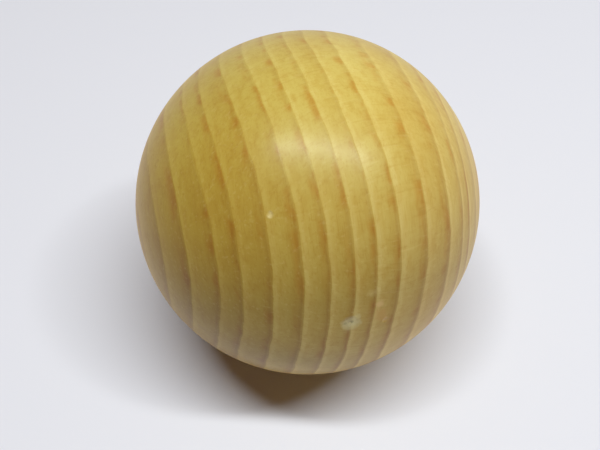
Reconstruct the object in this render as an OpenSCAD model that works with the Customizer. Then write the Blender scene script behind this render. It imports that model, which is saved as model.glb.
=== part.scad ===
// Turned hardwood ball, one solid piece, with the few small dings it has picked up in use.
// The origin is the ball's centre, +Z is up and -Y is the side that carries the dings.

/* [Ball] */
// Diameter of the ball
ball_d = 50; // [30:1:80]

/* [Bruise] */
// Width of the bruise across its rim
bruise_w = 2.2; // [1.4:0.1:3]
// Depth of the bruise at its middle
bruise_depth = 0.1; // [0.1:0.01:0.2]
// Direction of the bruise round the vertical, counted from +X
bruise_az = -77; // [-180:1:180]
// Height of the bruise above the equator, as an angle
bruise_el = 16; // [-90:1:90]
// Width of the pit pecked into the bruise
pit_w = 0.6; // [0.3:0.05:1]
// Depth of the pit below the ball's round surface
pit_depth = 0.22; // [0.21:0.01:0.3]

/* [Nicks] */
// Width of each nick across its rim
nick_w = 0.8; // [0.4:0.05:1.2]
// Depth of each nick at its middle
nick_depth = 0.08; // [0.05:0.01:0.15]
// Direction of the upper nick round the vertical
upper_nick_az = -105; // [-180:1:180]
// Height of the upper nick, as an angle
upper_nick_el = 49; // [-90:1:90]
// Direction of the lower nick round the vertical
lower_nick_az = -66; // [-180:1:180]
// Height of the lower nick, as an angle
lower_nick_el = 13; // [-90:1:90]

/* [Hidden] */

ball_r = ball_d / 2;
smooth = 96; // facets round a full turn, in a preview
seam_az = 180; // the round surface closes on a line from pole to pole, kept well away from the dings

// How far the surface of a ball of radius r falls below its top at half_w from the axis
function sagitta(r, half_w) = r - sqrt(r * r - half_w * half_w);

// Radius of the round cutter that leaves a dent of this width and depth in the ball
function cutter_r(w, depth) =
    let (bite = depth - sagitta(ball_r, w / 2))
    (w * w / 4 + bite * bite) / (2 * bite);

// A round cutter, set so that it dents the ball's surface in the given direction
module dent(az, el, w, depth) {
    r = cutter_r(w, depth);
    rotate([0, -el, az])
        translate([ball_r - depth + r, 0, 0])
            sphere(r = r, $fn = smooth);
}

module ball() {
    color("burlywood")
        difference() {
            rotate([0, 0, seam_az])
                sphere(d = ball_d, $fn = smooth);
            dent(bruise_az, bruise_el, bruise_w, bruise_depth);
            dent(bruise_az, bruise_el, pit_w, pit_depth);
            dent(upper_nick_az, upper_nick_el, nick_w, nick_depth);
            dent(lower_nick_az, lower_nick_el, nick_w, nick_depth);
        }
}

ball();
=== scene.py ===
import math

import bmesh
import bpy
from mathutils import Matrix, Quaternion, Vector, noise


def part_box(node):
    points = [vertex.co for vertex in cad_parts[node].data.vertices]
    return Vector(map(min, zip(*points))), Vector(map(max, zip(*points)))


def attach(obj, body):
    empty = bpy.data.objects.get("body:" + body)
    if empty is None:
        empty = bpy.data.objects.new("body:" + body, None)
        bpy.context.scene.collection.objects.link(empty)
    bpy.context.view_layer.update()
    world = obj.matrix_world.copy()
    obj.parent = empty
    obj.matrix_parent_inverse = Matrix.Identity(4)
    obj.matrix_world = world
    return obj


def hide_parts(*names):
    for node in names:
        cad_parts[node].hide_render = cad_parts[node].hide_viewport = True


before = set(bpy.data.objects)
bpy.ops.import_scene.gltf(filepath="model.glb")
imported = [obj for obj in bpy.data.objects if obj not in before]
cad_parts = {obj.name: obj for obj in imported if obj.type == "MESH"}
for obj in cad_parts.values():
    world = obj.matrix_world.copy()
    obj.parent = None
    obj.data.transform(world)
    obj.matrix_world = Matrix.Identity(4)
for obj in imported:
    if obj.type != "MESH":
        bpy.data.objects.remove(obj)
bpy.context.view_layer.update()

mm = 0.001
ballLow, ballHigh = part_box("ball")
ballRadius = (ballHigh[2] - ballLow[2]) / 2


def linear(hexColour):
    # sRGB hex to the linear values that Blender's sockets take
    parts = [int(hexColour[i:i + 2], 16) / 255 for i in (1, 3, 5)]
    return [p / 12.92 if p < 0.04045 else ((p + 0.055) / 1.055) ** 2.4 for p in parts] + [1.0]


def addNode(tree, kind, inputs=None, stops=None, points=None, **settings):
    # adds a node, sets it up, links or fills its sockets, and gives back its outputs. Stops are the
    # positions and colours of a ramp, and points are a curve's points between its two ends.
    node = tree.nodes.new("ShaderNode" + kind)
    for name, value in settings.items():
        setattr(node, name, value)
    if stops:
        ramp = node.color_ramp.elements
        ramp[0].position, ramp[1].position = stops[0][0], stops[-1][0]
        ramp[0].color, ramp[1].color = linear(stops[0][1]), linear(stops[-1][1])
        for at, colour in stops[1:-1]:
            ramp.new(at).color = linear(colour)
    if points:
        line = node.mapping.curves[0].points
        for x, y in points:
            line.new(x, y)
        for point in line:
            point.handle_type = "VECTOR"
        node.mapping.update()
    for socket, value in (inputs or {}).items():
        if isinstance(value, bpy.types.NodeSocket):
            tree.links.new(value, node.inputs[socket])
        else:
            node.inputs[socket].default_value = value
    return node.outputs


def newMaterial(name):
    material = bpy.data.materials.new(name)
    material.use_nodes = True
    material.node_tree.nodes.clear()
    return material, material.node_tree


def newObject(name, bm):
    mesh = bpy.data.meshes.new(name)
    bm.to_mesh(mesh)
    bm.free()
    thing = bpy.data.objects.new(name, mesh)
    bpy.context.collection.objects.link(thing)
    return thing


def direction(azimuth, elevation):
    # unit vector, azimuth counted from +X about +Z, both in degrees
    a, e = math.radians(azimuth), math.radians(elevation)
    return Vector((math.cos(e) * math.cos(a), math.cos(e) * math.sin(a), math.sin(e)))


# the camera looks down on the ball from close by, from the side with the dings
cameraSetup = {
    "elevation": 53.0,      # degrees above the floor
    "distance": 4.2,        # from the ball's centre, in ball radii
    "lens": 42.1,           # mm, on a sensor of the width below
    "sensor": 36.0,         # mm
    "aimLeft": 0.041,       # how far left of the ball's centre it aims, in ball radii
    "aimBelow": 0.129,      # and how far below
    "nearest": 5 * mm,      # it shows nothing closer than this
}


def makeCamera(setup):
    back = direction(-90, setup["elevation"])
    right = Vector((1, 0, 0))
    up = back.cross(right)
    place = back * setup["distance"] * ballRadius
    aim = (right * -setup["aimLeft"] - up * setup["aimBelow"]) * ballRadius
    camera = bpy.data.objects.new("camera", bpy.data.cameras.new("camera"))
    bpy.context.collection.objects.link(camera)
    camera.data.lens = setup["lens"]
    camera.data.sensor_width = setup["sensor"]
    camera.data.clip_start = setup["nearest"]
    camera.location = place
    camera.rotation_euler = (aim - place).to_track_quat("-Z", "Y").to_euler()
    bpy.context.scene.camera = camera


makeCamera(cameraSetup)
print("camera placed")

# The ball and its dings, which lie where the solid model has them. Each ding has its direction from the
# centre, as azimuth and elevation in degrees, its width and its depth. The pit's is below the bruise.
ballSetup = {
    "subdivisions": 7,      # of the icosphere, which makes its facets half a millimetre across
    "fineReach": 2.2 * mm,  # how far round each ding the facets are made finer
    "fineCuts": 3,          # and how many cuts they get along each edge
    "rimShare": 0.12,       # height of the raised rim round a ding, as a share of its depth
    "rimAt": 1.15,          # how far out the rim lies, as a share of the ding's half width
    "rimWidth": 0.22,       # how far it reaches to each side, as the same share
    "unevenness": 0.22,     # how uneven a ding's floor is, as a share of its depth
    "grit": 0.35 * mm,      # size of that unevenness
    "dings": {
        "bruise": {"at": (-77, 16), "width": 2.2 * mm, "depth": 0.10 * mm},
        "pitInIt": {"at": (-77, 16), "width": 0.6 * mm, "depth": 0.12 * mm},
        "upperNick": {"at": (-105, 49), "width": 0.8 * mm, "depth": 0.08 * mm},
        "lowerNick": {"at": (-66, 13), "width": 0.8 * mm, "depth": 0.08 * mm},
    },
    "bakeMargin": 0.04,     # bare edge round each side of the bake's map, as a share of that side
}


def dingDrop(share, setup):
    # how deep the surface lies at a share of the ding's half width: a round bowl, then a low rim
    bowl = max(0.0, 1 - share * share)
    rim = setup["rimShare"] * math.exp(-((share - setup["rimAt"]) / setup["rimWidth"]) ** 2)
    return bowl - rim


def makeBall(setup):
    bm = bmesh.new()
    bmesh.ops.create_icosphere(bm, subdivisions=setup["subdivisions"], radius=ballRadius)
    dings = setup["dings"].values()
    centres = [direction(*ding["at"]) * ballRadius for ding in dings]
    near = [v for v in bm.verts if any((v.co - c).length < setup["fineReach"] for c in centres)]
    edges = list({edge for v in near for edge in v.link_edges})
    bmesh.ops.subdivide_edges(bm, edges=edges, cuts=setup["fineCuts"], use_grid_fill=True)
    bmesh.ops.triangulate(bm, faces=[f for f in bm.faces if len(f.verts) > 3])
    for v in bm.verts:
        v.co = v.co.normalized() * ballRadius
    for ding, centre in zip(dings, centres):
        for v in bm.verts:
            away = (v.co - centre).length
            if away < ding["width"]:
                uneven = 1 + setup["unevenness"] * noise.noise(v.co / setup["grit"])
                drop = ding["depth"] * dingDrop(away * 2 / ding["width"], setup) * uneven
                v.co -= centre.normalized() * drop
    for face in bm.faces:
        face.smooth = True
    mapForBake(bm, 1 - 2 * setup["bakeMargin"])
    return newObject("turned_ball", bm)


def mapForBake(bm, room):
    # opens the ball out as the six sides of a box, laid three across and two up
    across, upward = 3, 2
    layer = bm.loops.layers.uv.new("OFBake")
    for face in bm.faces:
        centre = face.calc_center_median()
        axis = max(range(3), key=lambda i: abs(centre[i]))
        side = axis if centre[axis] > 0 else axis + 3
        column, row = side % across, side // across
        for loop in face.loops:
            spot = loop.vert.co
            u, v = (math.atan2(spot[(axis + k) % 3], abs(spot[axis])) / (math.pi / 2) for k in (1, 2))
            loop[layer].uv = ((column + 0.5 + u * room) / across, (row + 0.5 + v * room) / upward)


ball = makeBall(ballSetup)
print("ball turned,", len(ball.data.polygons), "facets")

# Clear-lacquered European beech. It shows yellowish tan growth rings as long stripes, each with a pale
# line where it starts that darkens to a brown edge where it ends, crossed by short ray flecks and pores.
# The thin satin lacquer gives a highlight with soft edges and a faint warm bloom towards the outline.
beechSetup = {
    "towardsPith": (0.985, 0.045, 0.175),    # across the rings, from the centre of the ball
    "fibre": (-0.170, 0.698, 0.701),         # along the trunk
    "pithDistance": 43.0,                    # mm, from the ball's centre to the middle of the trunk
    "firstRing": -27.78,                     # mm, where the outermost ring starts, from the ball's centre
    "ringWidths": (                          # mm, from the bark side to the pith side
        2.4, 2.6, 2.8, 2.9, 3.0, 2.4, 3.1, 3.1, 2.9, 2.8, 2.7, 3.1, 4.2, 4.3, 3.1, 2.0, 2.2, 2.4, 2.2,
    ),
    # the rings lean as they do beside a knot, which isn't drawn: its place from the middle of the trunk
    # (towards the pith, round it, along the fibre), how far it reaches and by how much they lean, in mm
    "knot": {"at": (-57, -11.5, -17), "reach": 16, "by": 1.35},

    "ringColours": (                         # from the start of a ring to its end
        (0.00, "#F4E18E"), (0.05, "#FEEFA2"), (0.13, "#FAEA9C"), (0.21, "#EFDA84"),
        (0.36, "#E7D279"), (0.60, "#DDC66A"), (0.78, "#D1B356"), (0.90, "#BE9B42"), (0.97, "#D0B55D"),
    ),
    "plain": "#E7D279",                      # the colour that the ring lines fade into
    "fainter": (0.02, 0.78, 0.70),           # from and to where they fade along the fibre, and by what share
    "edge": (0.55, 0.90, 0.94),              # shares of a ring where its edge begins, is full and fades
    "ownTone": {"tint": "#F2E8D0", "strength": 0.45},        # how much the rings differ in tone
    "across": (                              # the wood's tone from the bark side to the pith side, partly painted shade: darker on the bark side, lighter on the pith side as if more light fell there
        (0.02, "#C9BA44"), (0.34, "#DCD8BA"), (0.54, "#EAE9E1"), (0.75, "#F4F0E8"), (0.88, "#FFFFFF"),
    ),
    "along": (                               # and from the near end of the fibre to the far end, partly painted shade: darker round the ball's lower middle, lighter at its top, where the light from above falls
        (0.05, "#E8DED3"), (0.32, "#D2CBC4"), (0.55, "#ECE6D9"), (0.72, "#F9F6E8"), (0.88, "#FBFBEC"),
    ),

    # what is uneven in the wood, with its size in mm across the rings, round them and along the fibre:
    # first the slow drift of the ring lines and their small waves, by so many mm
    "shifts": {
        "wander": {"size": (9, 9, 28), "by": 0.28},
        "ripple": {"size": (2.2, 2.2, 6), "by": 0.13},
    },
    # a mark is the part of a noise that shows and the tint it gives: here where ring edges are browner,
    "edgePatches": {"size": (2.2, 2.4, 3.8), "shows": (0.45, 0.66), "tint": "#F2CC8A", "strength": 0.66},
    # and here all over. Pores and rays are drawn two to three times their real width of about 0.07 mm,
    # because finer ones would not show.
    "marks": {
        "clouds": {"size": (10, 14, 24), "shows": (0.40, 0.66), "tint": "#F6EFDD", "strength": 0.7},
        "mottle": {"size": (1.3, 1.5, 2.4), "shows": (0.42, 0.68), "tint": "#F2E6C6", "strength": 0.44},
        "streaks": {"size": (0.5, 0.8, 9), "shows": (0.44, 0.70), "tint": "#F2E5C8", "strength": 0.34},
        "pores": {"size": (0.17, 0.20, 2.2), "shows": (0.52, 0.72), "tint": "#EAD8AE", "strength": 0.36},
        "darkRays": {"size": (4.2, 0.28, 0.50), "shows": (0.52, 0.72), "tint": "#EBDAB0", "strength": 0.32},
        "paleRays": {"size": (3.5, 0.30, 0.45), "shows": (0.54, 0.78), "tint": "#E6D490", "strength": 0.10,
                     "blend": "MIX"},
    },
    "noiseDetail": 2.0,
    "noiseStep": (5.3, 3.7, 6.9),            # moves each noise on from the last, so that no two match

    # stains and bare spots left by knocks: each lies round a line between two directions, width in mm
    "spots": {
        "upperNick": {"from": (-105.1, 49.6), "to": (-104.9, 48.2), "width": 0.7,
                      "colour": "#E8DAA0", "strength": 0.5},
        "bruise": {"from": (-78.1, 15.7), "to": (-75.0, 15.9), "width": 2.2,
                   "colour": "#CCCBA2", "strength": 0.5},
        "bruiseTail": {"from": (-75.4, 17.4), "to": (-74.2, 18.6), "width": 1.0,
                       "colour": "#D2CD9C", "strength": 0.35},
        "pit": {"from": (-76.4, 16.3), "to": (-76.2, 16.3), "width": 0.55,
                "colour": "#857C52", "strength": 0.6},
        "secondPit": {"from": (-78.4, 16.0), "to": (-78.2, 16.0), "width": 0.5,
                      "colour": "#8E8558", "strength": 0.55},
        "scuff": {"from": (-70.8, 24.9), "to": (-67.0, 25.2), "width": 0.8,
                  "colour": "#D6C586", "strength": 0.4},
        "scuffDot": {"from": (-68.0, 20.4), "to": (-66.8, 20.0), "width": 1.1,
                     "colour": "#DDB583", "strength": 0.35},
        "stain": {"from": (-67.2, 17.6), "to": (-66.8, 14.2), "width": 2.0,
                  "colour": "#B4843F", "strength": 0.5},
        "lowerNick": {"from": (-66.0, 14.0), "to": (-65.4, 12.4), "width": 0.8,
                      "colour": "#D3AE76", "strength": 0.45},
    },
    "spotGrit": 0.5 * mm,                    # size of the waves in a spot's outline
    "spotWaves": 0.7,                        # how far they push it, as a share of the spot's size
    "spotEdge": (0.8, 1.6),                  # and where the spot starts to fade and is gone

    "relief": 0.008 * mm,                    # how proud the ring edges stand under the lacquer
    "poreDepth": 0.25,                       # how deep a pore of strength 1 would be, as a share of that
    "roughness": (0.40, 0.56),               # between the pores, and in a pore of strength 1
    "glossTint": "#D8F5C4",                  # colours of the gloss and of the bloom towards the outline
    "bloomTint": "#F7CC88",
    "lacquer": {                             # set as they are on the shader's own sockets
        "Specular IOR Level": 0.30,
        "Coat Weight": 0.125,
        "Coat Roughness": 0.27,              # satin
        "Coat IOR": 1.65,                    # above lacquer's own 1.5 or so, so that the rim shines less
        "Sheen Weight": 0.28,                # the bloom
        "Sheen Roughness": 0.44,
    },
}


def grainTurn(setup):
    # turns the ball's own axes to the wood's: towards the pith, round it, and along the fibre
    pith = Vector(setup["towardsPith"]).normalized()
    fibre = Vector(setup["fibre"])
    fibre = (fibre - pith * fibre.dot(pith)).normalized()
    return Matrix((pith, fibre.cross(pith), fibre)).to_euler()


def unrollTrunk(tree, grain, setup):
    # how far a point lies towards the pith, counted from the ball's centre, and how far along the fibre,
    # and its place in the trunk if that were rolled out flat
    parts = addNode(tree, "SeparateXYZ", {"Vector": grain})
    flat = addNode(tree, "CombineXYZ", {"X": parts["X"], "Y": parts["Y"]})["Vector"]
    age = addNode(tree, "VectorMath", {0: flat}, operation="LENGTH")["Value"]
    depth = addNode(tree, "Math", {0: setup["pithDistance"], 1: age}, operation="SUBTRACT")["Value"]
    angle = addNode(tree, "Math", {0: parts["Y"], 1: parts["X"]}, operation="DIVIDE")["Value"]
    around = addNode(tree, "Math", {0: angle, 1: -setup["pithDistance"]}, operation="MULTIPLY")["Value"]
    rolled = addNode(tree, "CombineXYZ", {"X": depth, "Y": around, "Z": parts["Z"]})["Vector"]
    return depth, parts["Z"], rolled


def addUnevenness(tree, rolled, setup):
    # everything uneven is a noise that follows the grain
    uneven = {}
    noises = {**setup["shifts"], "edgePatches": setup["edgePatches"], **setup["marks"]}
    for i, (name, one) in enumerate(noises.items()):
        stretched = addNode(tree, "Mapping", {"Vector": rolled, "Scale": [1 / s for s in one["size"]],
                                              "Location": [s * i for s in setup["noiseStep"]]})["Vector"]
        fac = addNode(tree, "TexNoise", {"Vector": stretched, "Scale": 1.0,
                                         "Detail": setup["noiseDetail"]})["Fac"]
        if "by" in one:
            limits = {"Value": fac, "To Min": -one["by"], "To Max": one["by"]}
        else:
            limits = {"Value": fac, "From Min": one["shows"][0], "From Max": one["shows"][1],
                      "To Max": one["strength"]}
        uneven[name] = addNode(tree, "MapRange", limits, interpolation_type="SMOOTHSTEP")["Result"]
    return uneven


def leanRings(tree, grain, depth, uneven, knot):
    # the ring lines drift, ripple and lean beside the knot
    away = addNode(tree, "VectorMath", {0: grain, 1: knot["at"]}, operation="DISTANCE")["Value"]
    lean = addNode(tree, "MapRange", {"Value": away, "From Max": knot["reach"], "To Min": knot["by"],
                                      "To Max": 0.0}, interpolation_type="SMOOTHSTEP")["Result"]
    for shift in (uneven["wander"], uneven["ripple"], lean):
        depth = addNode(tree, "Math", {0: depth, 1: shift}, operation="ADD")["Value"]
    return depth


def paintRings(tree, depth, along, patches, setup):
    # counts the rings: the whole part numbers one, the rest is the share of it that has passed
    widths = setup["ringWidths"]
    span, count = sum(widths), len(widths)
    ends = [(sum(widths[:i]) / span, i / count) for i in range(1, count)]
    share = addNode(tree, "MapRange", {"Value": depth, "From Min": setup["firstRing"],
                                       "From Max": setup["firstRing"] + span})["Result"]
    passed = addNode(tree, "FloatCurve", {"Value": share}, points=ends)["Value"]
    rings = addNode(tree, "Math", {0: passed, 1: count}, operation="MULTIPLY")["Value"]
    within = addNode(tree, "Math", {0: rings}, operation="FRACT")["Value"]
    number = addNode(tree, "Math", {0: rings}, operation="FLOOR")["Value"]
    colour = addNode(tree, "ValToRGB", {"Fac": within}, stops=setup["ringColours"])["Color"]

    # the lines grow fainter towards the far end
    start, end, most = setup["fainter"]
    faint = addNode(tree, "MapRange", {"Value": along, "From Min": start, "From Max": end, "To Max": most},
                    interpolation_type="SMOOTHSTEP")["Result"]
    colour = addNode(tree, "Mix", {0: faint, 6: colour, 7: linear(setup["plain"])}, data_type="RGBA")[2]

    # the edge of a ring is browner in patches, and in some places it hardly shows
    begins, full, ending = setup["edge"]
    late = addNode(tree, "MapRange", {"Value": within, "From Min": begins, "From Max": full},
                   interpolation_type="SMOOTHSTEP")["Result"]
    over = addNode(tree, "MapRange", {"Value": within, "From Min": ending, "From Max": 1.0, "To Min": 1.0,
                                      "To Max": 0.0}, interpolation_type="SMOOTHSTEP")["Result"]
    edge = addNode(tree, "Math", {0: late, 1: over}, operation="MULTIPLY")["Value"]
    brown = addNode(tree, "Math", {0: edge, 1: patches}, operation="MULTIPLY")["Value"]
    colour = addNode(tree, "Mix", {0: brown, 6: colour, 7: linear(setup["edgePatches"]["tint"])},
                     data_type="RGBA", blend_type="MULTIPLY")[2]

    # each ring has a tone of its own
    own = setup["ownTone"]
    tone = addNode(tree, "TexWhiteNoise", {"W": number}, noise_dimensions="1D")["Value"]
    toned = addNode(tree, "Math", {0: tone, 1: own["strength"]}, operation="MULTIPLY")["Value"]
    colour = addNode(tree, "Mix", {0: toned, 6: colour, 7: linear(own["tint"])},
                     data_type="RGBA", blend_type="MULTIPLY")[2]
    return colour, edge


def paintMarks(tree, colour, along, across, uneven, setup):
    # the tone changes slowly through the ball, partly as painted shade that darkens its lower middle and its
    # bark side, and the marks lie over it
    for way, share in (("along", along), ("across", across)):
        shade = addNode(tree, "ValToRGB", {"Fac": share}, stops=setup[way])["Color"]
        colour = addNode(tree, "Mix", {0: 1.0, 6: colour, 7: shade},
                         data_type="RGBA", blend_type="MULTIPLY")[2]
    for name, mark in setup["marks"].items():
        colour = addNode(tree, "Mix", {0: uneven[name], 6: colour, 7: linear(mark["tint"])},
                         data_type="RGBA", blend_type=mark.get("blend", "MULTIPLY"))[2]
    return colour


def paintSpots(tree, colour, place, setup):
    # a spot is the part of the surface whose distances from its two ends add up to little enough
    ragged = addNode(tree, "TexNoise", {"Vector": place, "Scale": 1 / setup["spotGrit"],
                                        "Detail": setup["noiseDetail"]})["Fac"]
    inside, outside = setup["spotEdge"]
    for spot in setup["spots"].values():
        ends = [direction(*spot[end]) * ballRadius for end in ("from", "to")]
        reach = [addNode(tree, "VectorMath", {0: place, 1: end}, operation="DISTANCE")["Value"]
                 for end in ends]
        far = addNode(tree, "Math", {0: reach[0], 1: reach[1]}, operation="ADD")["Value"]
        size = math.hypot(spot["width"] * mm, (ends[0] - ends[1]).length)
        soft = addNode(tree, "Math", {0: ragged, 1: size * setup["spotWaves"], 2: far},
                       operation="MULTIPLY_ADD")["Value"]
        mask = addNode(tree, "MapRange", {"Value": soft, "From Min": size * inside,
                                          "From Max": size * outside, "To Min": spot["strength"],
                                          "To Max": 0.0}, interpolation_type="SMOOTHSTEP")["Result"]
        colour = addNode(tree, "Mix", {0: mask, 6: colour, 7: linear(spot["colour"])},
                         data_type="RGBA")[2]
    return colour


def lacquer(tree, colour, pores, edge, setup):
    # under the lacquer the ring edges stand a hair proud and the pores are sunk
    ridge = addNode(tree, "Math", {0: pores, 1: -setup["poreDepth"], 2: edge},
                    operation="MULTIPLY_ADD")["Value"]
    bump = addNode(tree, "Bump", {"Height": ridge, "Strength": 1.0, "Distance": setup["relief"]})["Normal"]
    smooth, rough = setup["roughness"]
    dull = addNode(tree, "MapRange", {"Value": pores, "To Min": smooth, "To Max": rough})["Result"]
    return addNode(tree, "BsdfPrincipled", {"Base Color": colour, "Roughness": dull, "Normal": bump,
                                            "Coat Normal": bump, **setup["lacquer"],
                                            "Specular Tint": linear(setup["glossTint"]),
                                            "Sheen Tint": linear(setup["bloomTint"])})["BSDF"]


def makeBeech(setup):
    material, tree = newMaterial("lacquered_beech")
    place = addNode(tree, "TexCoord")["Object"]
    # millimetres from the middle of the trunk
    grain = addNode(tree, "Mapping", {"Vector": place, "Scale": (1 / mm,) * 3, "Rotation": grainTurn(setup),
                                      "Location": (-setup["pithDistance"], 0, 0)})["Vector"]
    depth, fibre, rolled = unrollTrunk(tree, grain, setup)
    uneven = addUnevenness(tree, rolled, setup)
    leaning = leanRings(tree, grain, depth, uneven, setup["knot"])

    reach = ballRadius / mm
    ends = {"From Min": -reach, "From Max": reach}
    along = addNode(tree, "MapRange", {"Value": fibre, **ends})["Result"]
    across = addNode(tree, "MapRange", {"Value": depth, **ends})["Result"]
    colour, edge = paintRings(tree, leaning, along, uneven["edgePatches"], setup)
    colour = paintMarks(tree, colour, along, across, uneven, setup)
    colour = paintSpots(tree, colour, place, setup)
    wood = lacquer(tree, colour, uneven["pores"], edge, setup)
    addNode(tree, "OutputMaterial", {"Surface": wood})
    return material


ball.data.materials.append(makeBeech(beechSetup))
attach(ball, "root")
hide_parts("ball")
print("beech lacquered")

# A pale sheet of matt paper to lie on, which fades into the pale surroundings away from the ball. Its
# lengths are in metres.
floorSetup = {
    "radius": 0.5,
    "sides": 96,
    "fadeFrom": 0.11,        # from the ball's centre
    "fadeTo": 0.27,
    "colour": "#E4E5E8",     # as it is seen
    "bounce": 0.83,          # and the share of white light that it sends back onto the ball
    "roughness": 0.8,
    "gloss": 0.0,            # specular level
}


def makeFloor(setup):
    bm = bmesh.new()
    bmesh.ops.create_circle(bm, cap_ends=True, segments=setup["sides"], radius=setup["radius"],
                            matrix=Matrix.Translation((0, 0, -ballRadius)))
    floor = newObject("floor", bm)
    paper, tree = newMaterial("paper")
    rays = addNode(tree, "LightPath")
    grey = [setup["bounce"]] * 3 + [1.0]
    colour = addNode(tree, "Mix", {0: rays["Is Diffuse Ray"], 6: linear(setup["colour"]), 7: grey},
                     data_type="RGBA")[2]
    sheet = addNode(tree, "BsdfPrincipled", {"Base Color": colour, "Roughness": setup["roughness"],
                                             "Specular IOR Level": setup["gloss"]})["BSDF"]
    place = addNode(tree, "TexCoord")["Object"]
    away = addNode(tree, "VectorMath", {0: place}, operation="LENGTH")["Value"]
    fade = addNode(tree, "MapRange", {"Value": away, "From Min": setup["fadeFrom"],
                                      "From Max": setup["fadeTo"]},
                   interpolation_type="SMOOTHSTEP")["Result"]
    clear = addNode(tree, "BsdfTransparent")["BSDF"]
    both = addNode(tree, "MixShader", {0: fade, 1: sheet, 2: clear})["Shader"]
    addNode(tree, "OutputMaterial", {"Surface": both})
    floor.data.materials.append(paper)


makeFloor(floorSetup)
print("sheet laid")

# One long soft light close overhead, a little brighter at its two ends, and a faint one low on the right.
# Each aims at a point and is rolled about its line of sight by some degrees. Lengths are in metres, and
# power is in watts.
lights = {
    "overhead": {"at": (0.105, -0.039, 0.60), "aim": (0.105, -0.039, 0), "roll": -2.7,
                 "size": (0.64, 0.048), "power": 4.45, "colour": "#F7FBFF"},
    "leftEnd": {"at": (-0.17, -0.026, 0.60), "aim": (-0.17, -0.026, 0), "roll": -2.7,
                "size": (0.10, 0.04), "power": 0.15, "colour": "#F7FBFF"},
    "rightEnd": {"at": (0.40, -0.053, 0.60), "aim": (0.40, -0.053, 0), "roll": -2.7,
                 "size": (0.10, 0.04), "power": 0.28, "colour": "#F7FBFF"},
    "low": {"at": (0.46, -0.18, 0.06), "aim": (0, 0, 0), "roll": 0,
            "size": (0.15, 0.15), "power": 0.05, "colour": "#FFFFFF"},
}

# The pale surroundings show to the camera, in gloss and through glass, but what they cast on the ball
# and the sheet is only a faint warm glow.
roomSetup = {
    "surroundings": "#E4E5E8",
    "glow": "#FFB8B0",
    "glowStrength": 0.066,
}


def makeLight(name, setup):
    data = bpy.data.lights.new(name, "AREA")
    data.shape = "RECTANGLE"
    data.size, data.size_y = setup["size"]
    data.energy = setup["power"]
    data.color = linear(setup["colour"])[:3]
    light = bpy.data.objects.new(name, data)
    bpy.context.collection.objects.link(light)
    light.location = setup["at"]
    away = Vector(setup["at"]) - Vector(setup["aim"])
    roll = Quaternion((0, 0, 1), math.radians(setup["roll"]))
    light.rotation_euler = (away.to_track_quat("Z", "Y") @ roll).to_euler()
    light.visible_camera = False


def makeRoom(setup):
    world = bpy.data.worlds.new("surroundings")
    world.use_nodes = True
    tree = world.node_tree
    tree.nodes.clear()
    rays = addNode(tree, "LightPath")
    shown = rays["Is Camera Ray"]
    for kind in ("Is Glossy Ray", "Is Transmission Ray"):
        shown = addNode(tree, "Math", {0: shown, 1: rays[kind]}, operation="MAXIMUM")["Value"]
    colour = addNode(tree, "Mix", {0: shown, 6: linear(setup["glow"]), 7: linear(setup["surroundings"])},
                     data_type="RGBA")[2]
    strength = addNode(tree, "MapRange", {"Value": shown, "To Min": setup["glowStrength"],
                                          "To Max": 1.0})["Result"]
    room = addNode(tree, "Background", {"Color": colour, "Strength": strength})
    addNode(tree, "OutputWorld", {"Surface": room["Background"]})
    bpy.context.scene.world = world


for name, setup in lights.items():
    makeLight(name, setup)
makeRoom(roomSetup)
bpy.context.scene.view_settings.view_transform = "Standard"
print("lit")
